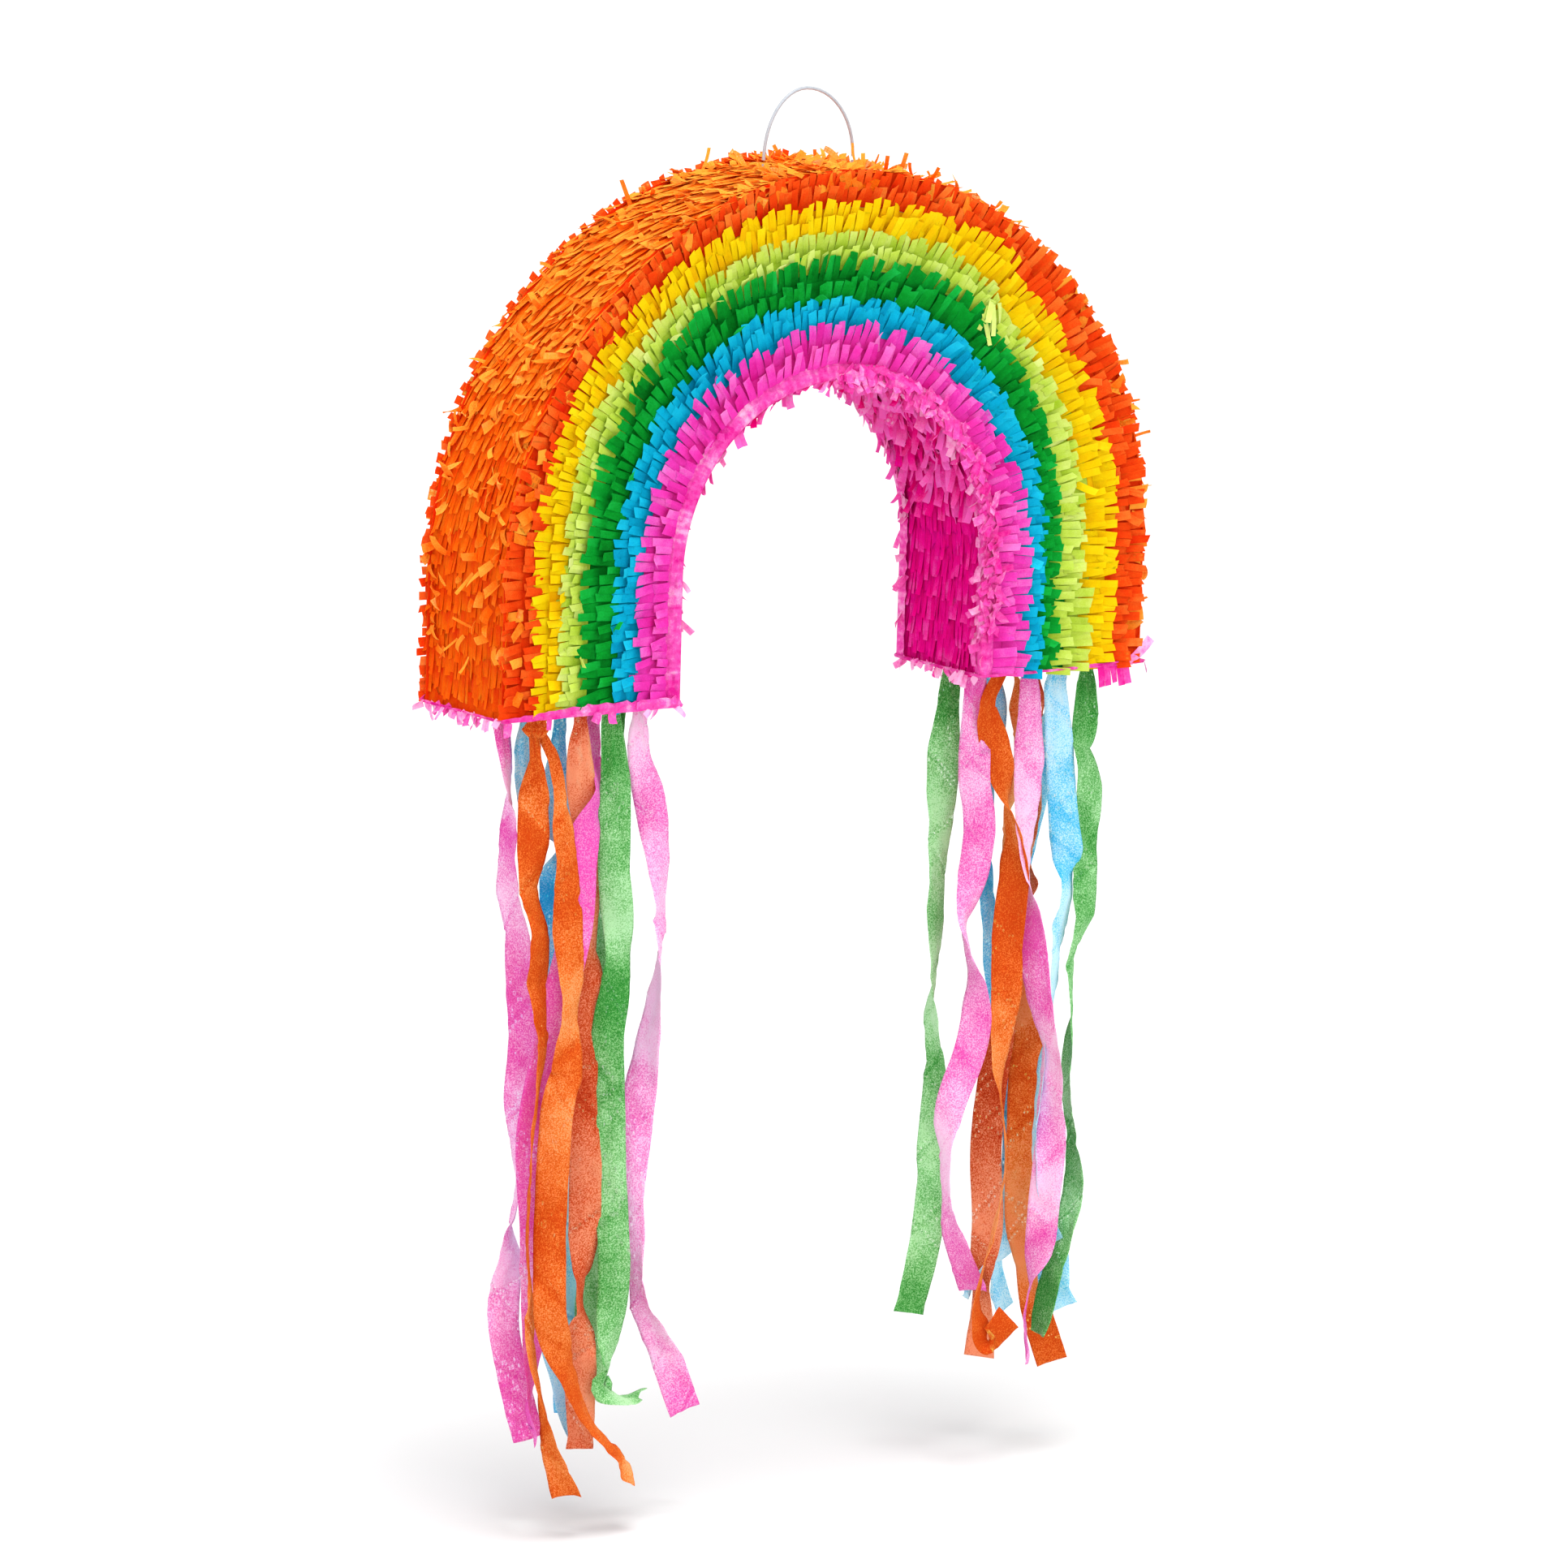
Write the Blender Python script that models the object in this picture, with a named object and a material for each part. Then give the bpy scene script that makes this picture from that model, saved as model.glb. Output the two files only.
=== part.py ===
"""Rainbow pinata: a hollow card arch dressed in fringed tissue paper, with a
filling flap at the back, a bunch of tissue streamers under each leg and a
cord loop at the top.

Metres, +Z up, the front faces -Y. The origin is the inside top of the loop.
"""

import math

import bmesh
import bpy
from mathutils import Matrix

# The dressed arch
WIDTH = 0.4100
DEPTH = 0.0738
GAP_WIDTH = 0.1948  # between the two legs
LEG_STRAIGHT = 0.0658  # from a leg's base to the arch's centre
LOOP_RISE = 0.0379  # from the crown to the loop's inside top

# Layers
CARD = 0.0015
FRINGE = 0.0026
CLEAR = 0.0003  # between neighbouring pieces
TRIM = 0.0009
ARC_STEPS = 36

# Filling flap, hinged along its top edge in the back panel
FLAP_HALF = 0.0360
FLAP_LOW, FLAP_TOP = 0.1260, 0.1760  # above the arch's centre
FLAP_CUT = 0.0004
FLAP_CUT_LOW = 0.0007
CUT_PAST = 0.0100  # how far a cutter reaches past what it cuts

# Hanging cord
CORD_R = 0.0009
EXIT_LEFT, EXIT_RIGHT = -0.0260, 0.0310
AXIS_OVER_CROWN = 0.0015  # the loop folds about a line this far over the crown
CORD_SPLIT = 0.0010  # cord ends stop this far from that line
LOOP_STEPS = 24
KNOT_R = 0.0032
KNOT_FOOT, KNOT_SHOULDER = -80, 70  # degrees round the knot's profile
CORD_LEAVES_KNOT = 1.02  # in knot radii over its centre
HOLE_R = CORD_R + 0.0005
HOLE_BELOW = 0.0200  # from the crown down through both walls

# Streamers
TAIL_WIDTH = 0.0170
TAIL_THICK = 0.0004
TAIL_STEPS = 24
TAIL_PITCH = 0.0184
HANG_DROP = 0.0016  # from the base panel to the streamers' hinge lines
DRIFT_POWER = 1.5  # a streamer's drift sideways grows faster further down

# The knot that gathers the two orange streamers of the left leg
BOW_X, BOW_Y = -0.1748, -0.0220
BOW_R, BOW_TALL = 0.0052, 0.0090
BOW_PULL = {"left_streamer_orange_1": 0.0052, "left_streamer_orange_2": -0.0052}
BOW_END = 75  # degrees round the knot's profile, its ends cut flat
GATHERED = 0.12  # share of the length over which a knotted streamer spreads
NARROWED = 0.60  # how much of its width the knot takes up

# Paper strips round the feet: heights on the legs, and how far they reach under
LEFT_TRIM, RIGHT_TRIM = 0.0055, 0.0035
TRIM_DROP = 0.0006

R_OUT, R_IN = WIDTH / 2, GAP_WIDTH / 2
ARCH_Z = -(LOOP_RISE + R_OUT)
BASE_Z = ARCH_Z - LEG_STRAIGHT
FACE_Y = DEPTH / 2
CARD_Y = FACE_Y - FRINGE - CLEAR
WALL_Y = CARD_Y - CARD - CLEAR
CARD_OUT = R_OUT - FRINGE - CLEAR
CARD_IN = R_IN + FRINGE + CLEAR
AXIS_Z = ARCH_Z + R_OUT + AXIS_OVER_CROWN

RED = (0.776, 0.061, 0.004)
YELLOW = (0.760, 0.520, 0.004)
LIGHT_GREEN = (0.352, 0.565, 0.073)
GREEN = (0.002, 0.262, 0.023)
BLUE = (0.002, 0.352, 0.610)
PINK = (0.791, 0.055, 0.392)
ORANGE = (0.913, 0.156, 0.002)
MAGENTA = (0.610, 0.002, 0.162)
TRIM_PINK = (0.871, 0.127, 0.456)
CARD_GREY = (0.578, 0.456, 0.305)
CORD_WHITE = (0.752, 0.752, 0.752)
TAIL_COLOURS = {
    "pink": (0.807, 0.188, 0.515),
    "orange": (0.831, 0.156, 0.021),
    "terracotta": (0.610, 0.091, 0.032),
    "blue": (0.156, 0.515, 0.716),
    "green": (0.156, 0.515, 0.156),
}

# name, inner radius, outer radius, colour: the fringe bands of both faces
BANDS = (
    ("red", 0.1858, R_OUT, RED),
    ("yellow", 0.1691, 0.1855, YELLOW),
    ("light_green", 0.1533, 0.1688, LIGHT_GREEN),
    ("green", 0.1375, 0.1530, GREEN),
    ("blue", 0.1198, 0.1372, BLUE),
    ("pink", 0.1045, 0.1195, PINK),
    ("edge_strip", R_IN, 0.1042, TRIM_PINK),
)
SPLIT_BANDS = ("light_green", "green")  # the flap cuts these right through
CUT_BANDS = ("yellow", "blue")

# bunch, row's y, x of the first streamer, then (name, length, drift, turn)
BUNCHES = (
    ("left", -0.0220, -0.1840, (
        ("orange_1", 0.408, 0.004, 60),
        ("orange_2", 0.392, 0.006, -50),
        ("terracotta", 0.390, 0.008, 30),
        ("green_1", 0.372, 0.010, -40),
        ("pink_3", 0.385, 0.030, 60),
    )),
    ("left", -0.0020, -0.1830, (
        ("pink_1", 0.392, 0.000, -60),
        ("blue_1", 0.388, 0.002, 50),
        ("blue_2", 0.378, 0.004, -40),
        ("pink_2", 0.390, 0.006, 55),
        ("green_2", 0.370, 0.008, 35),
    )),
    ("right", -0.0140, 0.1120, (
        ("pink_1", 0.372, -0.012, 60),
        ("orange_1", 0.392, -0.008, -55),
        ("pink_2", 0.382, -0.004, 60),
        ("blue_1", 0.360, 0.000, -40),
        ("green_2", 0.368, 0.002, 50),
    )),
    ("right", 0.0100, 0.1137, (
        ("green_1", 0.355, -0.018, 40),
        ("blue_2", 0.352, -0.012, -35),
        ("orange_2", 0.372, -0.008, 55),
        ("terracotta", 0.386, -0.004, -50),
        ("blue_3", 0.366, 0.000, 30),
    )),
)


def clear_scene():
    for obj in list(bpy.data.objects):
        bpy.data.objects.remove(obj, do_unlink=True)


def material(name, colour):
    mat = bpy.data.materials.new(name)
    mat.use_nodes = True
    shader = mat.node_tree.nodes["Principled BSDF"]
    shader.inputs["Base Color"].default_value = (*colour, 1.0)
    shader.inputs["Roughness"].default_value = 0.8
    mat.diffuse_color = (*colour, 1.0)
    return mat


def mesh_object(name, verts, faces, colour, origin=(0.0, 0.0, 0.0)):
    """A closed mesh with its own material, its faces turned outwards."""
    mesh = bpy.data.meshes.new(name)
    ox, oy, oz = origin
    mesh.from_pydata([(x - ox, y - oy, z - oz) for x, y, z in verts], [], faces)
    bm = bmesh.new()
    bm.from_mesh(mesh)
    if bm.calc_volume(signed=True) < 0:
        bmesh.ops.reverse_faces(bm, faces=bm.faces)
    bm.to_mesh(mesh)
    bm.free()
    obj = bpy.data.objects.new(name, mesh)
    obj.location = origin
    bpy.context.scene.collection.objects.link(obj)
    if colour is not None:
        mesh.materials.append(material(name, colour))
    return obj


def swept(rings, closed=False, sheet=False):
    """Vertices and faces of a tube through equal rings of points.

    A thin twisted sheet has its two broad faces split along the same diagonal.
    """
    n = len(rings[0])
    verts = [p for ring in rings for p in ring]
    faces = []
    count = len(rings)
    for i in range(count if closed else count - 1):
        j = (i + 1) % count
        for k in range(n):
            m = (k + 1) % n
            a, b, c, d = i * n + k, i * n + m, j * n + m, j * n + k
            if sheet and k == 0:
                faces += [(a, b, c), (a, c, d)]
            elif sheet and k == 2:
                faces += [(a, b, d), (b, c, d)]
            else:
                faces.append((a, b, c, d))
    if not closed:
        faces.append(tuple(reversed(range(n))))
        faces.append(tuple((count - 1) * n + k for k in range(n)))
    return verts, faces


def arch_stations(side=None):
    """(x factor, z factor, on the leg's foot) along the arch, left to right."""
    angles = [math.pi * (1 - i / ARC_STEPS) for i in range(ARC_STEPS + 1)]
    arc = [(math.cos(a), math.sin(a), False) for a in angles]
    half = ARC_STEPS // 2
    if side == "left":
        return [(-1.0, 0.0, True)] + arc[: half + 1]
    if side == "right":
        return arc[half:] + [(1.0, 0.0, True)]
    return [(-1.0, 0.0, True)] + arc + [(1.0, 0.0, True)]


def arch_solid(name, r0, r1, y0, y1, colour, side=None):
    """A bar of rectangular section that follows the arch and both legs."""
    rings = []
    for fx, fz, foot in arch_stations(side):
        low, high = [
            (r * fx, BASE_Z if foot else ARCH_Z + r * fz) for r in (r0, r1)
        ]
        rings.append((
            (low[0], y0, low[1]), (high[0], y0, high[1]),
            (high[0], y1, high[1]), (low[0], y1, low[1]),
        ))
    return mesh_object(name, *swept(rings), colour)


def box(name, low, high, colour, origin=(0.0, 0.0, 0.0)):
    (x0, y0, z0), (x1, y1, z1) = low, high
    rings = [
        ((x0, y0, z), (x1, y0, z), (x1, y1, z), (x0, y1, z)) for z in (z0, z1)
    ]
    return mesh_object(name, *swept(rings), colour, origin)


def lathe(name, x, profile, colour, y=0.0, sides=12):
    """A round solid about a vertical line, closed at both ends."""
    rings = []
    for radius, z in profile:
        rings.append([
            (x + radius * math.cos(2 * math.pi * k / sides),
             y + radius * math.sin(2 * math.pi * k / sides), z)
            for k in range(sides)
        ])
    return mesh_object(name, *swept(rings), colour)


def cutter(obj):
    obj.hide_render = True
    obj.display_type = "WIRE"
    return obj


def cut(obj, tool):
    change = obj.modifiers.new("Cut", "BOOLEAN")
    change.operation = "DIFFERENCE"
    change.solver = "EXACT"
    change.object = tool


def card_shell():
    """The two arch panels, the two walls between them and the leg bases."""
    front = -CARD_Y
    arch_solid("front_panel", CARD_IN, CARD_OUT, front, front + CARD, CARD_GREY)
    back = arch_solid(
        "back_panel", CARD_IN, CARD_OUT, CARD_Y - CARD, CARD_Y, CARD_GREY)
    outer = arch_solid(
        "outer_wall", CARD_OUT - CARD, CARD_OUT, -WALL_Y, WALL_Y, CARD_GREY)
    arch_solid("inner_wall", CARD_IN, CARD_IN + CARD, -WALL_Y, WALL_Y, CARD_GREY)
    near, far = CARD_IN + CARD + CLEAR, CARD_OUT - CARD - CLEAR
    for side, low, high in (("left", -far, -near), ("right", near, far)):
        box(f"{side}_base_panel", (low, -WALL_Y, BASE_Z),
            (high, WALL_Y, BASE_Z + CARD), CARD_GREY)
    return back, outer


def fringes():
    """Fringed tissue on the faces and walls. Returns what the flap cuts."""
    cut_here = []
    low, high = CARD_Y + CLEAR, FACE_Y
    for name, r0, r1, colour in BANDS:
        arch_solid(f"front_{name}", r0, r1, -high, -low, colour)
        if name in SPLIT_BANDS:
            cut_here += [
                arch_solid(f"back_{name}_{side}", r0, r1, low, high, colour, side)
                for side in ("left", "right")
            ]
            continue
        band = arch_solid(f"back_{name}", r0, r1, low, high, colour)
        if name in CUT_BANDS:
            cut_here.append(band)
    outer = arch_solid(
        "outer_fringe", R_OUT - FRINGE, R_OUT, -CARD_Y, CARD_Y, ORANGE)
    arch_solid("inner_fringe", R_IN, R_IN + FRINGE, -CARD_Y, CARD_Y, MAGENTA)
    return cut_here, outer


def filling_flap(cut_here):
    """The flap and its tissue, both turning about the flap's top edge."""
    low, high = ARCH_Z + FLAP_LOW, ARCH_Z + FLAP_TOP
    hinge = (0.0, FACE_Y, high + FLAP_CUT / 2)
    box("filling_flap", (-FLAP_HALF, CARD_Y - CARD, low),
        (FLAP_HALF, CARD_Y, high), CARD_GREY, hinge)
    box("flap_tissue", (-FLAP_HALF, CARD_Y + CLEAR, low),
        (FLAP_HALF, FACE_Y, high), GREEN, hinge)
    side = FLAP_HALF + FLAP_CUT
    tool = cutter(box("flap_cutter", (-side, CARD_Y - CUT_PAST, low - FLAP_CUT_LOW),
                      (side, FACE_Y + CUT_PAST, high + FLAP_CUT), None))
    for obj in cut_here:
        cut(obj, tool)


def leg_trim(name, low_x, high_x, height):
    """A paper strip around the foot of one leg, outside its fringe."""
    z0, z1 = BASE_Z - TRIM_DROP, BASE_Z + height
    inner, outer = CLEAR, CLEAR + TRIM
    rings = []
    for sx, sy in ((0, 0), (1, 0), (1, 1), (0, 1)):
        ring = []
        for out, z in ((inner, z0), (outer, z0), (outer, z1), (inner, z1)):
            x = high_x + out if sx else low_x - out
            y = FACE_Y + out if sy else -FACE_Y - out
            ring.append((x, y, z))
        rings.append(ring)
    mesh_object(name, *swept(rings, closed=True), TRIM_PINK)


def cord_knots(holed):
    """The knots inside the crown, each with its cord up through the holes."""
    for side, x in (("left", EXIT_LEFT), ("right", EXIT_RIGHT)):
        reach = (CARD_OUT - CARD) * math.cos(math.pi / ARC_STEPS / 2)
        reach -= KNOT_R + 2 * CLEAR
        centre = ARCH_Z + math.sqrt(reach ** 2 - x ** 2)
        turns = [math.radians(a) for a in range(KNOT_FOOT, KNOT_SHOULDER + 1, 15)]
        profile = [
            (KNOT_R * math.cos(a), centre + KNOT_R * math.sin(a)) for a in turns
        ]
        profile.append((CORD_R, centre + KNOT_R * CORD_LEAVES_KNOT))
        profile.append((CORD_R, AXIS_Z - CORD_SPLIT))
        lathe(f"{side}_cord_knot", x, profile, CORD_WHITE)
        top, foot = AXIS_Z + CUT_PAST, ARCH_Z + R_OUT - HOLE_BELOW
        tool = cutter(lathe(
            f"{side}_hole_cutter", x, ((HOLE_R, foot), (HOLE_R, top)), None))
        for obj in holed:
            cut(obj, tool)


def hanging_cord():
    """The loop over the crown, two quarter ovals meeting at the top."""
    foot = AXIS_Z + CORD_SPLIT
    rise = CORD_R - foot
    points = []
    for i in range(LOOP_STEPS + 1):
        turn = math.pi * (1 - i / LOOP_STEPS)
        reach = -EXIT_LEFT if turn > math.pi / 2 else EXIT_RIGHT
        points.append((reach * math.cos(turn), 0.0, foot + rise * math.sin(turn)))
    curve = bpy.data.curves.new("hanging_cord", "CURVE")
    curve.dimensions = "3D"
    curve.bevel_depth = CORD_R
    curve.bevel_resolution = 2
    curve.use_fill_caps = True
    spline = curve.splines.new("POLY")
    spline.points.add(len(points) - 1)
    for point, co in zip(spline.points, points):
        point.co = (*co, 1.0)
    obj = bpy.data.objects.new("hanging_cord", curve)
    curve.materials.append(material("hanging_cord", CORD_WHITE))
    bpy.context.scene.collection.objects.link(obj)


def streamer(name, x, y, length, drift, turn, colour):
    """A hanging tissue strip, turned about its own length on the way down."""
    pull = BOW_PULL.get(name, 0.0)
    top = BASE_Z - HANG_DROP - (BOW_TALL + CLEAR if pull else 0.0)
    rings = []
    for i in range(TAIL_STEPS + 1):
        s = i / TAIL_STEPS
        angle = math.radians(turn) * s
        tight = max(0.0, 1 - s / GATHERED) if pull else 0.0
        half, thin = TAIL_WIDTH / 2 * (1 - NARROWED * tight), TAIL_THICK / 2
        wx, wy = math.cos(angle) * half, math.sin(angle) * half
        nx, ny = -math.sin(angle) * thin, math.cos(angle) * thin
        cx, z = x + pull * tight + drift * s ** DRIFT_POWER, top - length * s
        rings.append([
            (cx + a * wx + b * nx, y + a * wy + b * ny, z)
            for a, b in ((-1, -1), (1, -1), (1, 1), (-1, 1))
        ])
    mesh_object(name, *swept(rings, sheet=True), colour, (x + pull, y, top))


def streamer_knot():
    """The knot under the left leg, a small squat ball."""
    top = BASE_Z - HANG_DROP / 2
    middle = top - BOW_TALL / 2
    profile = [
        (BOW_R * math.cos(a), middle + BOW_TALL / 2 * math.sin(a))
        for a in (math.radians(d) for d in range(-BOW_END, BOW_END + 1, 25))
    ]
    lathe("left_streamer_knot", BOW_X, profile, TAIL_COLOURS["orange"], y=BOW_Y)


def streamers():
    for bunch, y, first, tails in BUNCHES:
        for k, (name, length, drift, turn) in enumerate(tails):
            colour = TAIL_COLOURS[name.split("_")[0]]
            streamer(f"{bunch}_streamer_{name}", first + k * TAIL_PITCH, y,
                     length, drift, turn, colour)


def hang_from_loop():
    """Everything but the loop turns about the line where the loop folds."""
    pivot = bpy.data.objects.new("loop_fold_axis", None)
    pivot.location = (0.0, 0.0, AXIS_Z)
    bpy.context.scene.collection.objects.link(pivot)
    for obj in bpy.data.objects:
        if obj.type == "MESH":
            obj.parent = pivot
            obj.matrix_parent_inverse = Matrix.Translation((0.0, 0.0, -AXIS_Z))


clear_scene()
back_card, outer_card = card_shell()
cut_bands, outer_tissue = fringes()
filling_flap([back_card, *cut_bands])
leg_trim("left_base_trim", -R_OUT, -R_IN, LEFT_TRIM)
leg_trim("right_base_trim", R_IN, R_OUT, RIGHT_TRIM)
cord_knots([outer_card, outer_tissue])
hanging_cord()
streamer_knot()
streamers()
hang_from_loop()
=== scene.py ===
"""The looks of the rainbow pinata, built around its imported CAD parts.

Every slip of tissue is its own thin folded strip, made by the loops below.
Metres, +Z up, the front faces -Y. The origin is the inside top of the loop.
"""

import random
from math import atan2, copysign, cos, degrees, pi, radians, sin

import bmesh
import bpy
from mathutils import Matrix, Vector, noise


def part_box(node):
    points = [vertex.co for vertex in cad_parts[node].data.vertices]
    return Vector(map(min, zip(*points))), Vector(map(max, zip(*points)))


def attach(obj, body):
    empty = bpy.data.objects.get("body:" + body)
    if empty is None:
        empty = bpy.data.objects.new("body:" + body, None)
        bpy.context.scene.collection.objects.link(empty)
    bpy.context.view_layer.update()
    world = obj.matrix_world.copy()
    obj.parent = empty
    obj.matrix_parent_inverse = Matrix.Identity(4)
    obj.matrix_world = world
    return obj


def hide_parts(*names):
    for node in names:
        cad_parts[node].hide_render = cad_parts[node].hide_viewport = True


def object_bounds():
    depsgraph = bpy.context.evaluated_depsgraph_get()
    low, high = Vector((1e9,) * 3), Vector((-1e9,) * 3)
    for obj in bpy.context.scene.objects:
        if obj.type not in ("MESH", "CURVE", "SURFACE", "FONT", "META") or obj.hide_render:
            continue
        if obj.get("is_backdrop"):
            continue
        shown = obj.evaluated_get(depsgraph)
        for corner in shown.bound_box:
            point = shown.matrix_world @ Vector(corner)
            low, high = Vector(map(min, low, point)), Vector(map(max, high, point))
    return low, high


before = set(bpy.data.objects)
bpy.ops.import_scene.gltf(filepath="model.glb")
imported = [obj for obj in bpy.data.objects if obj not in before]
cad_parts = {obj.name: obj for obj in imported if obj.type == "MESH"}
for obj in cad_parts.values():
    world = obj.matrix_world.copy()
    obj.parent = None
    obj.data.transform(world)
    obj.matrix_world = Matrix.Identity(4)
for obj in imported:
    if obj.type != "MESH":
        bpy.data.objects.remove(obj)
cad_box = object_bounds()

# The CAD's own sizes
red_low, red_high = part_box("front_red")
R_OUT = red_high.x
ARCH_Z = red_high.z - R_OUT
BASE_Z = red_low.z
LEG = ARCH_Z - BASE_Z
FACE_Y = -red_low.y
UNDER_Y = -red_high.y  # where the tissue meets the card
SKIN = FACE_Y - UNDER_Y
R_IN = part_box("inner_fringe")[1].x - SKIN
FLAP_LOW, FLAP_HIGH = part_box("flap_tissue")

PLY = 0.00014  # tissue thickness
BASE_PLY = 0.0005  # the glued part of each strip, under the slips
GLUED_Y = UNDER_Y + BASE_PLY
OUTER_BASE = R_OUT - SKIN + BASE_PLY
INNER_BASE = R_IN + SKIN - BASE_PLY
FLAP_GAP = 0.0006  # kept free beside the flap's cut lines
FRONT, DOWN = Vector((0, -1, 0)), Vector((0, 0, -1))

# Camera, at the photograph's viewing angle
AZIMUTH, ELEVATION, ROLL = -36.25, 10.32, 1.56
LENS, SENSOR, DISTANCE = 180.0, 36.0, 4.101
TARGET = Vector((-0.0022, 0.0, -0.3634))

FLOOR_Z, FLOOR_HALF = -0.742, 30.0
WORLD_LIGHT = 0.84
# name, direction, strength, angle across in degrees
SUNS = (("key", (0.06, 0.16, -1.0), 1.9, 26), ("fill", (0.45, 1.0, -0.45), 1.3, 60))

# Angles round the arch, from the left leg over the top to the right leg,
# at which the reach of each front band is given
REACH_AT = (180, 140, 92, 54.5, 53, 0)
# name, reach at those angles, slip width
BANDS = (
    ("pink", (0.126, 0.129, 0.126, 0.125, 0.121, 0.126), 0.0046),
    ("blue", (0.14, 0.146, 0.142, 0.142, 0.138, 0.138), 0.0048),
    ("green", (0.161, 0.164, 0.16, 0.16, 0.153, 0.148), 0.0046),
    ("light_green", (0.173, 0.177, 0.172, 0.174, 0.166, 0.167), 0.0044),
    ("yellow", (0.188, 0.192, 0.192, 0.193, 0.184, 0.185), 0.0044),
    ("red", (0.2056, 0.2056, 0.205, 0.205, 0.2056, 0.204), 0.0046),
)
BAND_ROWS = 2
FIRST_REACH = 0.1060  # the pink edge strip's reach on the face
OVERLAP = 0.0045  # of each row over the next
JOINT_ANGLE, JOINT_REACH, JOINT_SLIPS = 54.0, 0.160, 6
CUT_BY_FLAP = ("light_green", "green")  # on the back these bands are two nodes
STRIP_RUN = (0.09, 0.22)  # a glued strip's length along the arch
STRIP_SHIFT, STRIP_SLOPE = 0.0011, 0.008  # how far off its line it is glued
# Up to these chances a face's slip is missing, raised or folded aside
MISSING, RAISED, ASIDE = 0.012, 0.045, 0.065
SHORT_CHANCE = 0.06
LEAST_WIDTH, LEAST_LENGTH = 0.0016, 0.003  # nothing smaller is made

OUTER_PITCH, OUTER_LONG = 0.0104, 0.0142
INNER_PITCH, INNER_LONG = 0.0108, 0.0150
WALL_SLIP, LAST_ROW_SLIP = 0.0030, 0.0120
LAST_ROW = 0.020  # the outer wall's last rows lie flat and wide, this far up
BASE_TONE, OUTER_BASE_TONE = 0.30, 0.32  # of the glued strips

# How the loose slips vary: width, length, lift, bend, spread of roll, tone,
# spread of skew, spread of cup
LOOSE = {
    "joint": ((0.002, 0.0036), (0.01, 0.017), (0.0, 0.3), (-0.5, 0.3), 0.5,
              (0.55, 0.85), 0.0, 0.0),
    "curled": ((0.0028, 0.0056), (0.005, 0.01), (0.1, 0.7), (-1.9, 0.9), 0.7,
               (0.34, 0.66), 0.0008, 0.12),
    "stray": ((0.0012, 0.0034), (0.008, 0.014), (0.35, 1.05), (-1.6, 0.8), 1.1,
              (0.4, 0.85), 0.0, 0.0),
    "corner": ((0.0045, 0.0075), (0.007, 0.012), (0.0, 0.5), (-1.2, 0.3), 0.4,
               (0.45, 0.95), 0.0, 0.0),
    "inner edge": ((0.0024, 0.005), (0.005, 0.0105), (0.1, 0.9), (-1.0, 1.0), 0.6,
                   (0.25, 0.9), 0.0, 0.0),
    "inner face": ((0.0028, 0.005), (0.006, 0.011), (0.15, 0.7), (-1.3, 0.3), 0.5,
                   (0.15, 0.6), 0.0, 0.0),
    "foot": ((0.003, 0.0054), (0.004, 0.0085), (-0.1, 0.7), (-0.9, 0.9), 0.5,
             (0.4, 1.0), 0.0, 0.1),
}
CURLED_EACH_SIDE, STRAYS = 170, 170
CORNER_REACH = R_OUT - 0.0105
CORNER_END = 0.004  # the corner slips stop this short of the base
CORNER_SHARE = 0.55
INNER_EDGE_SLIPS, INNER_FACE_SLIPS = 110, 230

EDGE_STEPS = 420
EDGE_PROFILE = (  # (radius beyond the gap's, y) from the face, over the corner
    (0.0082, 0.0356), (0.0066, 0.037), (0.005, 0.0377), (0.0034, 0.0383),
    (0.0018, 0.0386), (0.0004, 0.038), (-0.0007, 0.037), (-0.001, 0.0352),
    (-0.0008, 0.033), (-0.0004, 0.0312),
)
FOOT_STEP, FOOT_CORNER = 0.003, 0.0035  # steps and rounded corners of a foot's outline
TABS, TAB_X, TAB_PITCH, TAB_WIDTH = 5, 0.176, 0.0042, 0.0042
KNOT_PROFILE = (  # (radius, rise)
    (0.0078, -0.0004), (0.0056, -0.0026), (0.0044, -0.0046), (0.006, -0.0066),
    (0.0064, -0.0086), (0.005, -0.0104), (0.0034, -0.0122),
)
KNOT_AROUND = 36
CORD_STEPS = 24

# Linear colours: deepest, middle, lightest
TISSUES = {
    "tissue_red": ((0.66, 0.014, 0.001), (0.78, 0.062, 0.004), (0.9, 0.19, 0.024)),
    "tissue_orange": ((0.76, 0.03, 0.001), (0.9, 0.115, 0.002), (0.98, 0.32, 0.03)),
    "tissue_yellow": ((0.72, 0.33, 0.001), (0.82, 0.52, 0.001), (0.88, 0.64, 0.006)),
    "tissue_light_green": ((0.3, 0.46, 0.008), (0.48, 0.64, 0.075), (0.64, 0.76, 0.22)),
    "tissue_green": ((0.001, 0.1, 0.006), (0.002, 0.265, 0.02), (0.008, 0.42, 0.055)),
    "tissue_blue": ((0.001, 0.21, 0.37), (0.002, 0.37, 0.59), (0.012, 0.52, 0.74)),
    "tissue_pink": ((0.62, 0.006, 0.25), (0.78, 0.04, 0.4), (0.92, 0.2, 0.58)),
    "tissue_magenta": ((0.52, 0.000, 0.115), (0.79, 0.001, 0.23), (0.94, 0.13, 0.52)),
    "tissue_trim_pink": ((0.7, 0.012, 0.26), (0.84, 0.09, 0.42), (0.95, 0.42, 0.68)),
}
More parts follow.
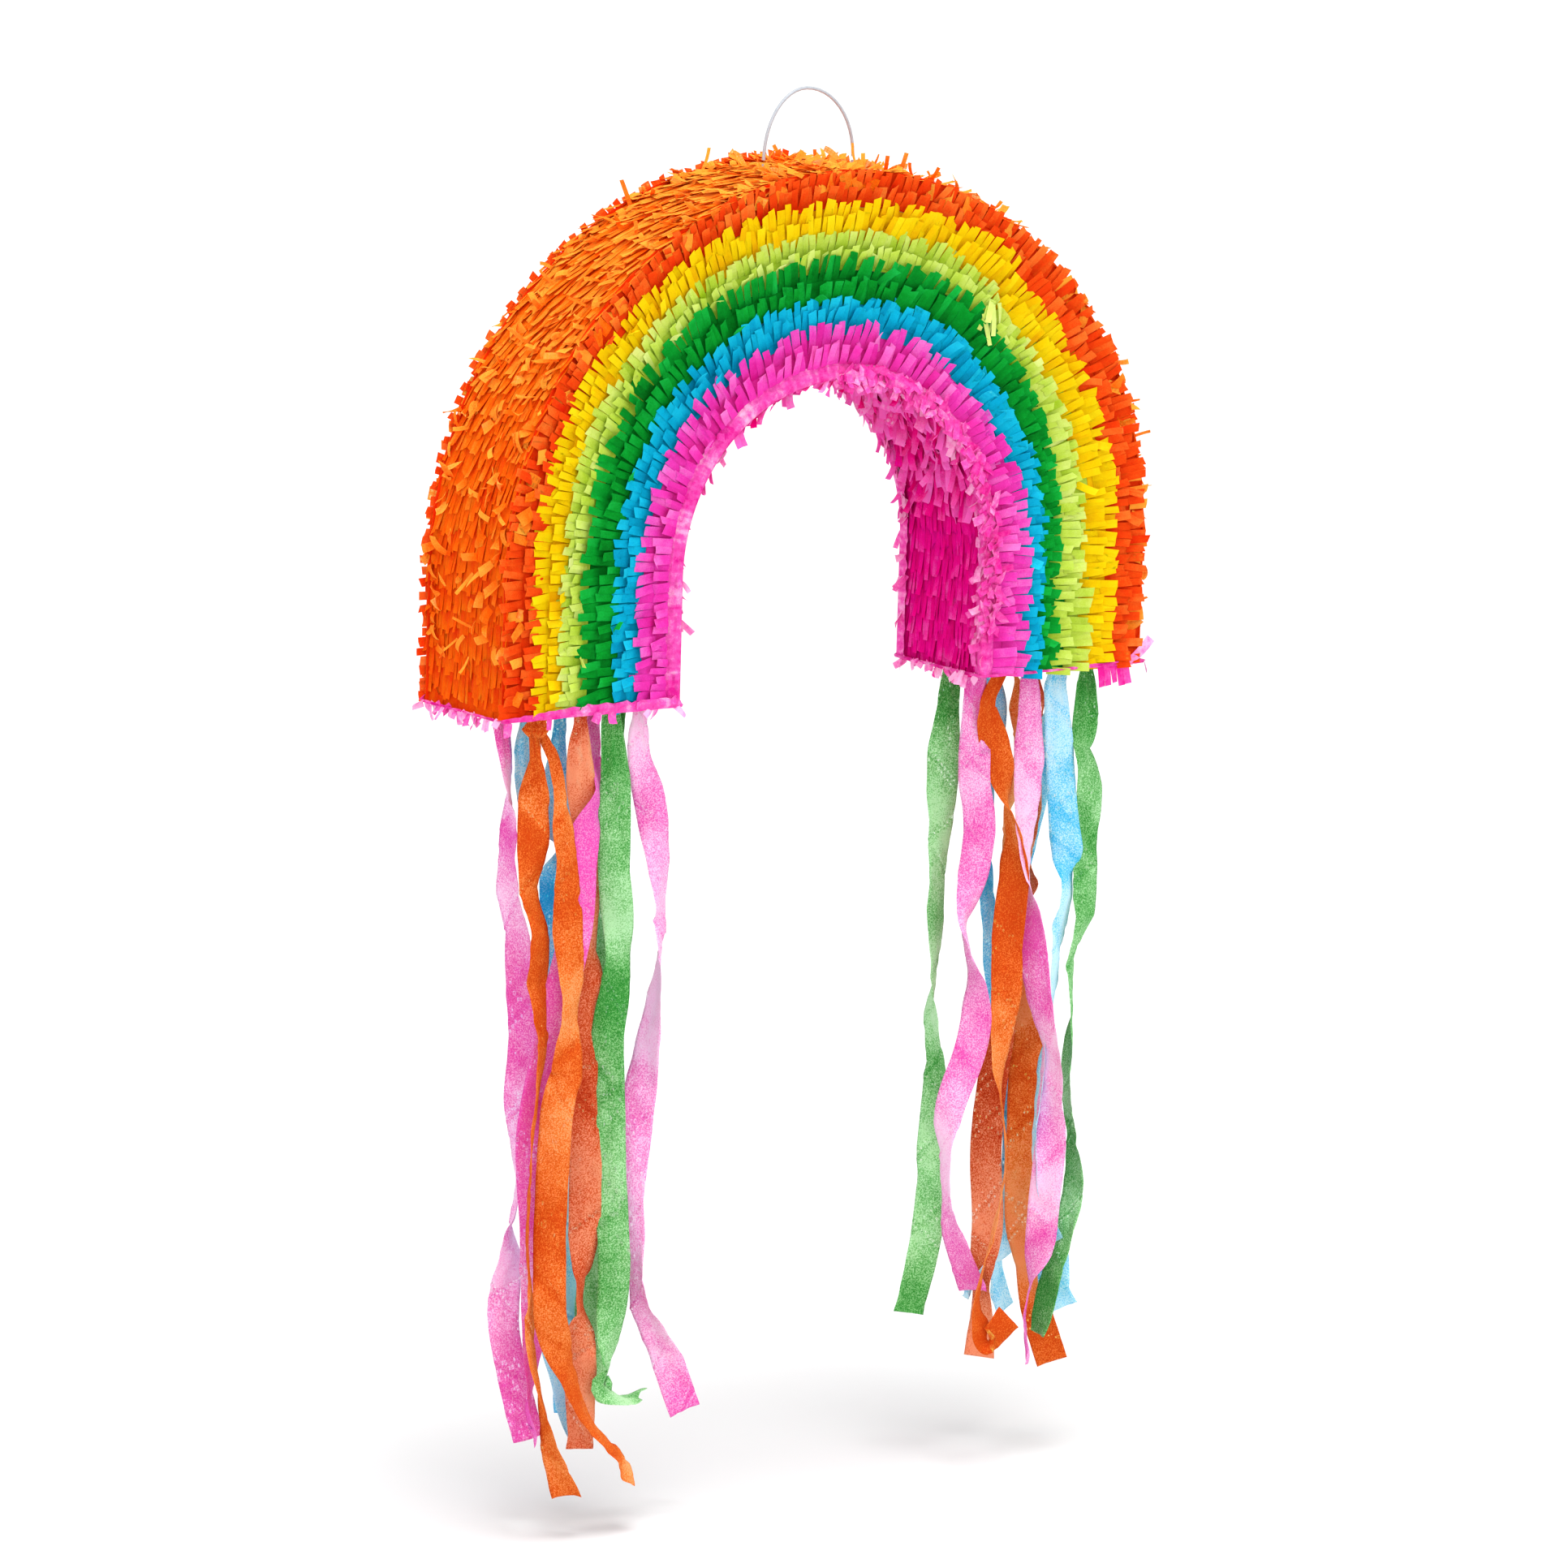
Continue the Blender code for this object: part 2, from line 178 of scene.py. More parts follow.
# Amount and scale of the clouding, and the weight of the light passing through
PLAIN = (0.1, 140.0, 0.7)
MOTTLED = {"tissue_trim_pink": (0.2, 320.0, 0.35)}
STREAMER_TISSUES = {
    "streamer_pink": ((0.7, 0.07, 0.39), (0.78, 0.25, 0.545), (0.87, 0.56, 0.75)),
    "streamer_orange": ((0.54, 0.06, 0.005), (0.7, 0.165, 0.022), (0.84, 0.33, 0.12)),
    "streamer_terracotta": ((0.42, 0.03, 0.006), (0.58, 0.09, 0.024), (0.78, 0.3, 0.16)),
    # Its deepest and middle blues are partly painted light, raised so the ribbons in shade stay
    # bright cyan.
    "streamer_blue": ((0.016, 0.41, 0.7), (0.14, 0.55, 0.8), (0.5, 0.76, 0.9)),
    "streamer_green": ((0.03, 0.24, 0.034), (0.15, 0.44, 0.13), (0.42, 0.69, 0.39)),
}
NOISE_SPAN = (0.3, 0.7)  # where most of a noise texture's values lie

DRESSED = {
    "card": ("front_panel", "back_panel", "outer_wall", "inner_wall",
             "left_base_panel", "right_base_panel", "filling_flap"),
    "cord": ("left_cord_knot", "right_cord_knot"),
}
MATERIALS = {}  # by slot, filled before the pieces are made

STRIP_WIDTH = 0.0170
RINGS, ACROSS = 200, 10  # a ribbon's steps along and across
# Each streamer by side and colour: its length in mm, its paleness, then stations
# (mm below the base, x and y in mm, turn in degrees about its own length)
STREAMERS = {
    "left_pink_1": (392, 0.58, (
        (2, -183, -2, 5), (27, -180, -2, 30), (52, -177, 0, 62), (72, -175, 0, 64),
        (105, -171, 0, 96), (130, -169, 0, 112), (181, -163, 0, 122), (222, -164, 2, 104),
        (260, -160, 4, 66), (295, -168, 4, 30), (330, -168, 2, 4), (388, -152, 0, -20))),
    # Its paleness is partly its own mottled tissue and partly painted light, raised against the
    # shade it gets under the arch and behind the front ribbons.
    "left_blue_1": (388, 0.62, (
        (2, -165, -2, 0), (20, -172, -4, 0), (46, -168, -6, 20), (72, -152, -6, 34),
        (103, -151, -6, -6), (135, -150, -6, -14), (171, -148, -6, 50), (215, -150, -6, 84),
        (261, -154, -4, 106), (305, -148, -4, 128), (343, -139, -4, 144), (388, -126, -4, 166))),
    "left_orange_1": (408, 0.25, (
        (8.5, -177.2, -22, -20), (26, -179, -26, -34), (61, -181, -30, -30), (91, -180, -30, 10),
        (121, -174, -30, 26), (155, -172, -30, 42), (205, -175, -30, 60), (282, -178, -30, 66),
        (325, -178, -30, 72), (378, -164, -30, 92), (412, -152, -30, 116))),
    "left_orange_2": (392, 0.3, (
        (8.5, -172.4, -22, -10), (30, -166, -28, 30), (68, -163, -34, 38), (112, -162, -36, 10),
        (146, -160, -38, 26), (180, -164, -40, -4), (205, -168, -40, -18), (286, -172, -40, -36),
        (314, -172, -40, -16), (345, -158, -38, 8), (369, -145, -36, 26), (386, -130, -36, 36),
        (404, -110, -36, 42))),
    # Its paleness is partly its own mottled tissue and partly painted light, raised against the
    # shade it gets under the arch and behind the front ribbons.
    "left_blue_2": (378, 0.66, (
        (2, -146.2, -2, 22), (36, -144, 0, -8), (70, -138, 2, 22), (150, -134, 4, 50),
        (272, -132, 4, 34), (310, -130, 4, 16), (338, -125, 4, -18), (378, -126, 4, -34))),
    "left_terracotta": (390, 0.6, (
        (2, -147.2, -22, 22), (38, -146, -22, 0), (86, -139, -20, 18), (130, -139, -18, 0),
        (160, -138, -18, -14), (215, -137, -18, -32), (258, -136, -18, -18), (295, -136, -18, 14),
        (312, -138, -18, 24), (350, -136, -18, 2), (391, -136, -18, -12))),
    "left_pink_2": (390, 0.2, (
        (2, -127.8, -2, 8), (28, -130, -10, 26), (48, -138, -22, 46), (74, -151, -31, -16),
        (105, -155, -33, -36), (150, -161, -30, -26), (217, -171, -20, -20), (275, -166, -16, 0),
        (334, -165, -14, 32), (362, -164, -14, 58), (382, -162, -14, 84))),
    "left_green_1": (372, 0.46, (
        (2, -128.8, -22, -2), (46, -127, -24, -24), (99, -123, -26, -10), (128, -123, -26, 10),
        (171, -125, -24, -20), (230, -123, -24, -36), (304, -122, -24, -14), (338, -123, -24, 16),
        (357, -122, -24, 42), (366, -112, -26, 60), (364, -104, -28, 66))),
    "left_green_2": (370, 0.65, (
        (2, -109.4, -2, 10), (60, -114, -4, 0), (110, -113, -6, -22), (200, -115, -4, -36),
        (295, -119, -4, -10), (340, -120, -4, -22), (370, -119, -4, -10))),
    "left_pink_3": (385, 0.64, (
        (2, -110.4, -22, 20), (27, -112, -22, 2), (50, -106, -22, -26), (80, -100, -22, -2),
        (104, -97, -22, 34), (118, -96, -22, 52), (135, -97, -22, 78), (182, -102, -22, 114),
        (213, -105, -22, 142), (262, -108, -22, 132), (304, -105, -22, 92), (326, -96, -22, 112),
        (350, -85, -22, 138), (378, -73, -22, 150))),
    "right_green_1": (355, 0.65, (
        (2, 113.7, 10, -2), (48, 113, 10, -30), (86, 108, 10, -10), (122, 109, 10, 12),
        (155, 109, 10, 38), (177, 108, 10, 54), (200, 108, 10, 78), (226, 110, 10, 106),
        (262, 112, 10, 122), (290, 113, 10, 134), (325, 106, 10, 146), (354, 97, 10, 150))),
    "right_pink_1": (372, 0.55, (
        (2, 112, -14, -16), (54, 113, -14, -36), (80, 116, -14, -30), (109, 114, -14, -12),
        (137, 109, -14, 36), (152, 112, -14, 66), (172, 118, -14, 104), (205, 116, -14, 144),
        (238, 104, -14, 116), (262, 101, -14, 98), (292, 104, -14, 88), (318, 113, -14, 108),
        (340, 123, -14, 122))),
    "right_orange_1": (392, 0.15, (
        (2, 130.4, -14, 28), (20, 121, -16, 8), (41, 123, -18, -20), (68, 131, -18, 20),
        (84, 136, -18, 62), (96, 137, -18, 100), (114, 137, -18, 138), (143, 136, -18, 150),
        (175, 134, -20, 186), (215, 130, -22, 200), (262, 134, -24, 226), (300, 126, -26, 236),
        (338, 114, -28, 220), (356, 114, -30, 200), (364, 122, -31, 186), (352, 134, -32, 180))),
    "right_orange_2": (386, 0.64, (
        (2, 150.5, 10, 46), (16, 157, 10, 18), (33, 162, 8, -4), (59, 158, 6, 28),
        (89, 150, 6, 52), (130, 156, 4, 84), (180, 168, 4, 116), (213, 171, 4, 140),
        (247, 168, 4, 128), (300, 166, 4, 142), (330, 170, 4, 118), (360, 180, 4, 134),
        (392, 191, 4, 150))),
    "right_pink_2": (382, 0.6, (
        (2, 148.8, -14, 4), (56, 146, -18, -12), (81, 141, -20, 20), (107, 141, -22, 52),
        (140, 149, -22, 80), (184, 156, -22, 94), (216, 163, -22, 102), (248, 166, -22, 124),
        (275, 165, -22, 140), (302, 163, -22, 128), (325, 160, -22, 98), (352, 152, -22, 62),
        (382, 155, -22, 52))),
    "right_terracotta": (386, 0.45, (
        (2, 168.9, 10, 42), (40, 178, 14, 44), (68, 178, 16, 44), (88, 174, 16, 18),
        (106, 174, 16, 34), (128, 174, 16, 56), (165, 168, 16, 82), (213, 158, 16, 112),
        (264, 150, 14, 142), (309, 152, 14, 150), (342, 151, 14, 112), (386, 149, 12, 138))),
    "right_blue_1": (360, 0.8, (
        (2, 167.2, -14, 8), (30, 168, -14, -24), (91, 173, -14, -20), (115, 177, -14, 8),
        (131, 177, -14, 34), (158, 172, -14, 42), (190, 169, -14, 46), (230, 165, -14, 54),
        (268, 162, -14, 66), (302, 168, -14, 96), (333, 177, -14, 130), (357, 186, -14, 144))),
    "right_green_2": (368, 0.42, (
        (2, 185.6, -14, 18), (38, 185, -14, -6), (60, 187, -14, 4), (99, 188, -14, 16),
        (138, 188, -14, 36), (164, 186, -14, 50), (200, 183, -14, 74), (235, 183, -14, 72),
        (262, 184, -16, 62), (289, 184, -18, 84), (310, 178, -20, 92), (340, 168, -22, 94),
        (367, 162, -22, 86))),
    "right_blue_2": (352, 0.55, (
        (2, 132.1, 10, 20), (30, 148, 20, -8), (80, 149, 22, 12), (132, 152, 22, 32),
        (180, 162, 22, 10), (221, 172, 22, -18), (287, 176, 20, -10), (325, 168, 18, 18),
        (340, 154, 18, 30), (350, 140, 18, 38))),
    "right_blue_3": (366, 0.4, (
        (2, 187.3, 10, 30), (80, 182, 20, 10), (146, 174, 26, 0), (183, 172, 28, -10),
        (240, 168, 28, 10), (293, 166, 28, 30), (366, 178, 26, 0))),
}
KNOTTED = ("left_orange_1", "left_orange_2")
# How much narrower a ribbon is at its top, and how far down that reaches
GATHERED, KNOT_GATHERED = (0.34, 0.045), (0.80, 0.036)
SWING_ROOM, SWING_SLOPE = 0.0002, 0.22  # what clears the base at 75 degrees
FRONT_ROW_Y = -0.012  # hinges in front of this swing forward


# Materials

class Look:
    """A procedural material, and the few kinds of node it is made from."""

    def __init__(self, name):
        self.material = bpy.data.materials.new(name)
        self.material.use_nodes = True
        self.tree = self.material.node_tree
        self.shader = self.tree.nodes["Principled BSDF"]

    def node(self, kind, **values):
        node = self.tree.nodes.new("ShaderNode" + kind)
        for name, value in values.items():
            node.inputs[name.replace("_", " ")].default_value = value
        return node

    def set(self, name, value):
        self.shader.inputs[name].default_value = value

    def link(self, value, node, name):
        self.tree.links.new(value, node.inputs[name])

    def noise(self, scale, detail=3.0, rough=0.55, stretch=None):
        source = self.node("TexCoord").outputs["Object"]
        if stretch:
            mapping = self.node("Mapping", Scale=stretch)
            self.link(source, mapping, "Vector")
            source = mapping.outputs["Vector"]
        texture = self.node("TexNoise", Scale=scale, Detail=detail, Roughness=rough)
        self.link(source, texture, "Vector")
        return texture.outputs["Fac"]

    def mapped(self, value, low, high, span=NOISE_SPAN):
        ranged = self.node("MapRange", From_Min=span[0], From_Max=span[1],
                           To_Min=low, To_Max=high)
        self.link(value, ranged, "Value")
        return ranged.outputs["Result"]

    def clouding(self, amount, scale, detail):
        return self.mapped(self.noise(scale, detail), -amount, amount)

    def shade(self, *parts):
        """The tone that each point of the mesh carries, with the parts added."""
        tone = self.node("Attribute")
        tone.attribute_name = "tone"
        total = tone.outputs["Fac"]
        for part in parts:
            node = self.node("Math")
            node.operation = "ADD"
            self.link(total, node, 0)
            self.link(part, node, 1)
            total = node.outputs["Value"]
        return total

    def colour(self, value, places, colours):
        node = self.node("ValToRGB")
        line = node.color_ramp
        while len(line.elements) < len(places):
            line.elements.new(0.5)
        for element, place, colour in zip(line.elements, places, colours):
            element.position = place
            element.color = (*colour, 1.0)
        self.link(value, node, "Fac")
        self.link(node.outputs["Color"], self.shader, "Base Color")

    def roughness(self, value, low, high):
        self.link(self.mapped(value, low, high), self.shader, "Roughness")

    def bump(self, height, strength, distance):
        node = self.node("Bump", Strength=strength, Distance=distance)
        self.link(height, node, "Height")
        self.link(node.outputs["Normal"], self.shader, "Normal")

    def see_through(self, weight, deep):
        """Light that falls on one side of thin tissue glows on the other."""
        self.set("Specular IOR Level", 0.02)
        self.set("Subsurface Weight", weight)
        self.set("Subsurface Radius", (1.0, 1.0, 1.0))
        self.set("Subsurface Scale", deep)


def fringe_tissue(name, colours):
    """Tissue whose shade comes from each slip's tone, clouded and creased."""
    look = Look(name)
    mottle, size, glow = MOTTLED.get(name, PLAIN)
    cloud = look.clouding(mottle, size, detail=3.0)
    fibre = look.clouding(0.07, 1500.0, detail=2.0)
    look.colour(look.shade(cloud, fibre), (0.10, 0.50, 0.92), colours)
    look.roughness(look.noise(600.0), 0.62, 0.85)
    look.see_through(glow, deep=0.0005)
    look.bump(look.noise(420.0, 4.0, 0.6), strength=0.35, distance=0.0006)
    return look.material


def streamer_tissue(name, colours):
    """Thin crepe: pale and speckled where it is single, deeper where creased."""
    look = Look(name)
    speck = look.mapped(look.noise(1300.0, 3.0, 0.75), -0.24, 0.42, span=(0.42, 0.60))
    cloud = look.clouding(0.16, 60.0, detail=2.0)
    look.colour(look.shade(speck, cloud), (0.05, 0.50, 0.95), colours)
    look.roughness(look.noise(700.0), 0.60, 0.80)
    look.see_through(0.90, deep=0.00025)
    look.bump(look.noise(700.0, 4.0, 0.6), strength=0.25, distance=0.0004)
    return look.material


def card_material():
    """Unprinted brown card, its fibres running along the sheet."""
    look = Look("card")
    fibre = look.noise(500.0, 5.0, 0.65, stretch=(1.0, 1.0, 0.35))
    look.colour(fibre, (0.25, 0.5, 0.8), (
        (0.40, 0.30, 0.19), (0.54, 0.42, 0.28), (0.66, 0.54, 0.40)))
    look.roughness(look.noise(250.0), 0.75, 0.92)
    look.bump(fibre, strength=0.3, distance=0.0003)
    return look.material


def cord_material():
    """Milky nylon line, faintly ribbed along its length."""
    look = Look("cord")
    cloud = look.noise(900.0)
    look.colour(cloud, NOISE_SPAN, ((0.38, 0.41, 0.45), (0.48, 0.51, 0.55)))
    look.roughness(cloud, 0.28, 0.42)
    look.bump(look.noise(2200.0, 2.0), strength=0.15, distance=0.0001)
    return look.material


def floor_material():
    look = Look("floor")
    look.colour(look.noise(3.0, 4.0), NOISE_SPAN, ((0.74, 0.74, 0.74), (0.76, 0.76, 0.76)))
    look.set("Roughness", 0.9)
    look.set("Specular IOR Level", 0.0)
    return look.material


# Paper

class Paper:
    """Collects thin closed strips of paper into one mesh."""

    def __init__(self):
        self.verts = []
        self.faces = []
        self.tones = []

    def strip(self, rings, tones, closed=False):
        first, n, count = len(self.verts), len(rings[0]), len(rings)
        for ring, tone in zip(rings, tones):
            self.verts += ring
            self.tones += tone if isinstance(tone, list) else [tone] * n
        for i in range(count if closed else count - 1):
            a, b = first + i * n, first + (i + 1) % count * n
            for k in range(n):
                m = (k + 1) % n
                self.faces.append((a + k, a + m, b + m, b + k))
        if closed:
            return
        self.faces.append(tuple(range(first + n - 1, first - 1, -1)))
        last = first + (count - 1) * n
        self.faces.append(tuple(range(last, last + n)))

    def add_flattened(self, node, flatten, tone=BASE_TONE):
        """A copy of a CAD piece's mesh, thinned to the glued part of a strip."""
        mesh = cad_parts[node].data
        first = len(self.verts)
        self.verts += [flatten(v.co) for v in mesh.vertices]
        self.tones += [tone] * len(mesh.vertices)
        self.faces += [tuple(first + v for v in p.vertices) for p in mesh.polygons]

    def build(self, name, body, slot, replaces=()):
        mesh = bpy.data.meshes.new(name)
        mesh.from_pydata(self.verts, [], self.faces)
        tones = mesh.attributes.new("tone", "FLOAT", "POINT")
        tones.data.foreach_set("value", self.tones)
        bm = bmesh.new()
        bm.from_mesh(mesh)
        bmesh.ops.remove_doubles(bm, verts=bm.verts, dist=1e-7)
        bmesh.ops.recalc_face_normals(bm, faces=bm.faces)
        if bm.calc_volume(signed=True) < 0:
            bmesh.ops.reverse_faces(bm, faces=bm.faces)
        bm.to_mesh(mesh)
        bm.free()
        mesh.materials.append(MATERIALS[slot])
        obj = linked(name, mesh)
        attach(obj, body)
        if replaces:
            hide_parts(*replaces)
        return obj


def linked(name, data):
    obj = bpy.data.objects.new(name, data)
    bpy.context.scene.collection.objects.link(obj)
    return obj


def slip(paper, root, along, out, width, length, lift, bend, roll, tone,
         steps=4, skew=0.0, cup=0.0, tip_tone=0.08):
    """One slip glued at its root, rising by lift, then bending and rolling."""
    side = along.cross(out).normalized()
    point, angle = root.copy(), lift
    rings, tones = [], []
    for i in range(steps + 1):
        f = i / steps
        onward = along * cos(angle) + out * sin(angle)
        normal = out * cos(angle) - along * sin(angle)
        turn = roll * f
        across = side * cos(turn) + normal * sin(turn)
        face = normal * cos(turn) - side * sin(turn)
        half, thin = across * (width / 2), face * (PLY / 2)
        slant = onward * (skew if i == steps else 0.0)
        arch = face * (cup * width)
        rings.append([
            point - half - slant - thin, point + arch - thin,
            point + half + slant - thin, point + half + slant + thin,
            point + arch + thin, point - half - slant + thin,
        ])
        # Lighter from root to tip: painted shade at the root, where it lies under the row above.
        tones.append(tone + tip_tone * f)
        point = point + onward * (length / steps)
        angle += bend / steps
    paper.strip(rings, tones)


def loose_slip(rng, paper, root, along, out, kind, width=None, painted_top_light=0.0, **rest):
    """A slip that varies as LOOSE says for its kind."""
    widths, lengths, lifts, bends, roll, tones, skew, cup = LOOSE[kind]
    sizes = (width or rng.uniform(*widths), rng.uniform(*lengths), rng.uniform(*lifts),
             rng.uniform(*bends), rng.gauss(0, roll), rng.uniform(*tones) + painted_top_light)
    if skew:
        rest["skew"] = rng.gauss(0, skew)
    if cup:
        rest["cup"] = rng.gauss(0, cup)
    slip(paper, root, along, out, *sizes, **rest)


def turned(along, out, yaw):
    """along, turned by yaw within the surface whose normal is out."""
    return Matrix.Rotation(yaw, 3, out) @ along


def wavy(x, y, z):
    return noise.noise(Vector((x, y, z)))


# Places on the arch

def wall_length(r):
    """From the crown to a base, along a line of radius r."""
    return r * pi / 2 + LEG


def arch_length(r):
    return 2 * wall_length(r)


def on_wall(r, side, t):
    """Point, outward and downward directions, t down from the crown."""
    if t > r * pi / 2:
        down = t - r * pi / 2
        return Vector((side * r, 0, ARCH_Z - down)), Vector((side, 0, 0)), DOWN
    a = t / r
    out = Vector((side * sin(a), 0, cos(a)))
    on = Vector((side * cos(a), 0, -sin(a)))
    return Vector((0, 0, ARCH_Z)) + out * r, out, on


def on_arch(r, s):
    """Point and outward direction, s from the left base over the crown."""
    t = s - wall_length(r)
    return on_wall(r, copysign(1, t), abs(t))[:2]


def reach_at(values, out):
    """A band's reach where the arch faces out, eased between the given angles."""
    angle = degrees(atan2(max(out.z, 0.0), out.x))
    for k in range(len(REACH_AT) - 1):
        high, low = REACH_AT[k], REACH_AT[k + 1]
        if angle >= low:
            f = (high - angle) / (high - low)
            f = f * f * (3 - 2 * f)
            return values[k] + (values[k + 1] - values[k]) * f
    return values[-1]


# Fringe on the two faces

def flap_room(root, along, width, length):
    """(on the flap, width, length) of a back slip kept clear of the cut lines."""
    half = width / 2
    edge = FLAP_HIGH.x
    inside_x = abs(root.x) < edge
    inside = inside_x and FLAP_LOW.z < root.z < FLAP_HIGH.z
    near_z = FLAP_LOW.z - length < root.z < FLAP_HIGH.z
    beside = abs(abs(root.x) - edge)
    if near_z and beside < half + FLAP_GAP:
        width = 2 * (beside - FLAP_GAP)
    if inside and along.z > 0:
        length = min(length, (FLAP_HIGH.z - FLAP_GAP - root.z) / along.z)
    elif inside_x and root.z <= FLAP_LOW.z and along.z > 0:
        length = min(length, (FLAP_LOW.z - FLAP_GAP - root.z) / along.z)
    if inside and abs(along.x) > 1e-6:
        tip = abs(root.x + along.x * length) + half
        if tip > edge - FLAP_GAP:
            length -= (tip - edge + FLAP_GAP) / abs(along.x)
    return inside, width, length


def face_slip(rng, sheets, root, out, side, width, length):
    """One slip of a face's fringe, now and then raised, folded aside or missing."""
    normal = Vector((0, side, 0))
    along = turned(out, normal, rng.gauss(0, 0.08))
    lift = rng.uniform(0.28, 0.56) * (1 - 0.35 * max(-out.x, 0.0))
    bend = rng.gauss(-0.22, 0.26)
    roll = rng.gauss(0, 0.17)
    tone = min(max(rng.gauss(0.34, 0.11), 0.05), 0.80)
    luck = rng.random()
    if luck < MISSING:
        return
    if luck < RAISED:
        lift, bend = rng.uniform(0.4, 0.9), rng.uniform(-0.9, 0.9)
        tone += 0.15
    elif luck < ASIDE:
        along = turned(along, normal, rng.choice((-1, 1)) * rng.uniform(0.3, 0.8))
        lift, bend = rng.uniform(0.3, 0.5), rng.uniform(0.5, 1.6)
        tone += 0.2
    on_flap = False
    if side > 0:
        on_flap, width, length = flap_room(root, along, width, length)
    if width < LEAST_WIDTH or length < LEAST_LENGTH:
        return
    slip(sheets[on_flap], root, along, normal, width, length, lift, bend, roll, tone,
         skew=rng.gauss(0, 0.0005), cup=rng.gauss(0, 0.05), tip_tone=0.26)


def face_row(rng, sheets, side, inner, outer, width, row):
    """One row of slips, strip after strip, from the left base to the right base."""
    middle = inner[2] + (outer[2] - inner[2]) * row / BAND_ROWS
    total = arch_length(middle)
    s = joint = 0.0
    while s < total - width * 0.4:
        if s >= joint:
            start, joint = s, s + rng.uniform(*STRIP_RUN)
            shift, slope = rng.gauss(0, STRIP_SHIFT), rng.gauss(0, STRIP_SLOPE)
        here = width * rng.uniform(0.78, 1.18)
        point, out = on_arch(middle, s + here / 2)
        low, high = reach_at(inner, out), reach_at(outer, out)
        root_r = low + (high - low) * row / BAND_ROWS - OVERLAP
        tip_r = low + (high - low) * (row + 1) / BAND_ROWS
        drift = shift + slope * (s - start)
        length = (tip_r - root_r) * rng.uniform(0.94, 1.14)
        if rng.random() < SHORT_CHANCE:
            length *= rng.uniform(0.7, 0.9)
        root = point + out * (root_r + drift - middle)
        root.y = side * (GLUED_Y + 0.0001 + 0.0003 * rng.random())
        face_slip(rng, sheets, root, out, side, here * 0.96, length)
        s += here


def squash_face(co):
    return Vector((co.x, copysign(min(abs(co.y), GLUED_Y), co.y), co.z))


def joint_slips(rng, paper):
    """Loose slips where two light green strips meet on the right shoulder."""
    a = radians(JOINT_ANGLE)
    for _ in range(JOINT_SLIPS):
        r = JOINT_REACH + rng.uniform(-0.004, 0.005)
        root = Vector((r * cos(a) + rng.uniform(-0.004, 0.003), -FACE_Y - 0.0035,
                       ARCH_Z + r * sin(a)))
        down = Vector((rng.uniform(-0.45, 0.25), 0.0, -1.0)).normalized()
        loose_slip(rng, paper, root, down, FRONT, "joint")


def faces():
    """Both faces' bands, and the part of the back's fringe on the flap."""
    for side, label in ((-1, "front"), (1, "back")):
        inner = (FIRST_REACH,) * len(REACH_AT)
        for name, outer, width in BANDS:
            rng = random.Random(f"{label} {name}")
            tissue = f"tissue_{name}"
            nodes = [f"{label}_{name}"]
            if side > 0 and name in CUT_BY_FLAP:
                nodes = [f"{nodes[0]}_left", f"{nodes[0]}_right"]
            if side > 0 and name != "red":
                outer = outer[::-1]
            sheets = (Paper(), Paper())  # fixed, on the flap
            for node in nodes:
                sheets[0].add_flattened(node, squash_face)
            for row in range(BAND_ROWS):
                face_row(rng, sheets, side, inner, outer, width, row)
            if label == "front" and name == "light_green":
                joint_slips(rng, sheets[0])
            sheets[0].build(f"{label}_{name}_fringe", "shell", tissue, nodes)
            if sheets[1].verts:
                sheets[1].build(f"flap_{name}_fringe", "flap", tissue)
            inner = outer
    base = Paper()
    base.add_flattened("flap_tissue", squash_face)
    base.build("flap_fringe_base", "flap", "tissue_green", ("flap_tissue",))


# Fringe on the walls

def squash_to(radius, limit):
    """What brings a wall's fringe to radius, with limit min or max."""
    def flatten(co):
        if co.z < ARCH_Z:
            return Vector((copysign(limit(abs(co.x), radius), co.x), co.y, co.z))
        offset = Vector((co.x, 0, co.z - ARCH_Z))
        offset *= limit(offset.length, radius) / offset.length
        return Vector((offset.x, co.y, ARCH_Z + offset.z))
    return flatten


def outer_slip(rng, paper, side, t, y):
    """One hanging slip of the outer wall. Returns its width."""
    left = wall_length(OUTER_BASE) - t
    last = left < LAST_ROW
    wide = (LAST_ROW_SLIP if last else WALL_SLIP) * rng.uniform(0.6, 1.4)
    point, out, down = on_wall(OUTER_BASE, side, t + rng.gauss(0, 0.0005))
    point.y = min(y + wide / 2, FACE_Y)
    length = min(OUTER_LONG * rng.uniform(0.80, 1.20) * (1 + 0.25 * out.z), left + 0.0008)
    up = max(out.z, 0.0)
    if last:
        yaw, bend, roll, tip_tone, cover = 0.01, 0.05, 0.03, 0.18, 0.99
    else:
        yaw, bend, roll, tip_tone, cover = 0.02 + 0.05 * up, 0.10 + 0.12 * up, 0.14, 0.30, 0.95
    along = turned(down, out, rng.gauss(0, yaw))
    lift = rng.uniform(0.02, 0.05)
    if not last:
        lift += rng.uniform(0.00, 0.04 + 0.10 * up)
    # The more the wall faces up, the lighter the slip is painted: painted light from above.
    tone = rng.gauss(0.17, 0.05 + 0.05 * up) + 0.34 * up ** 1.2
    slip(paper, point, along, out, wide * cover, length, lift, rng.gauss(0.0, bend),
         rng.gauss(0, roll), tone, steps=6, skew=rng.gauss(0, 0.0004),
         cup=rng.gauss(0, 0.05), tip_tone=tip_tone)
    return wide


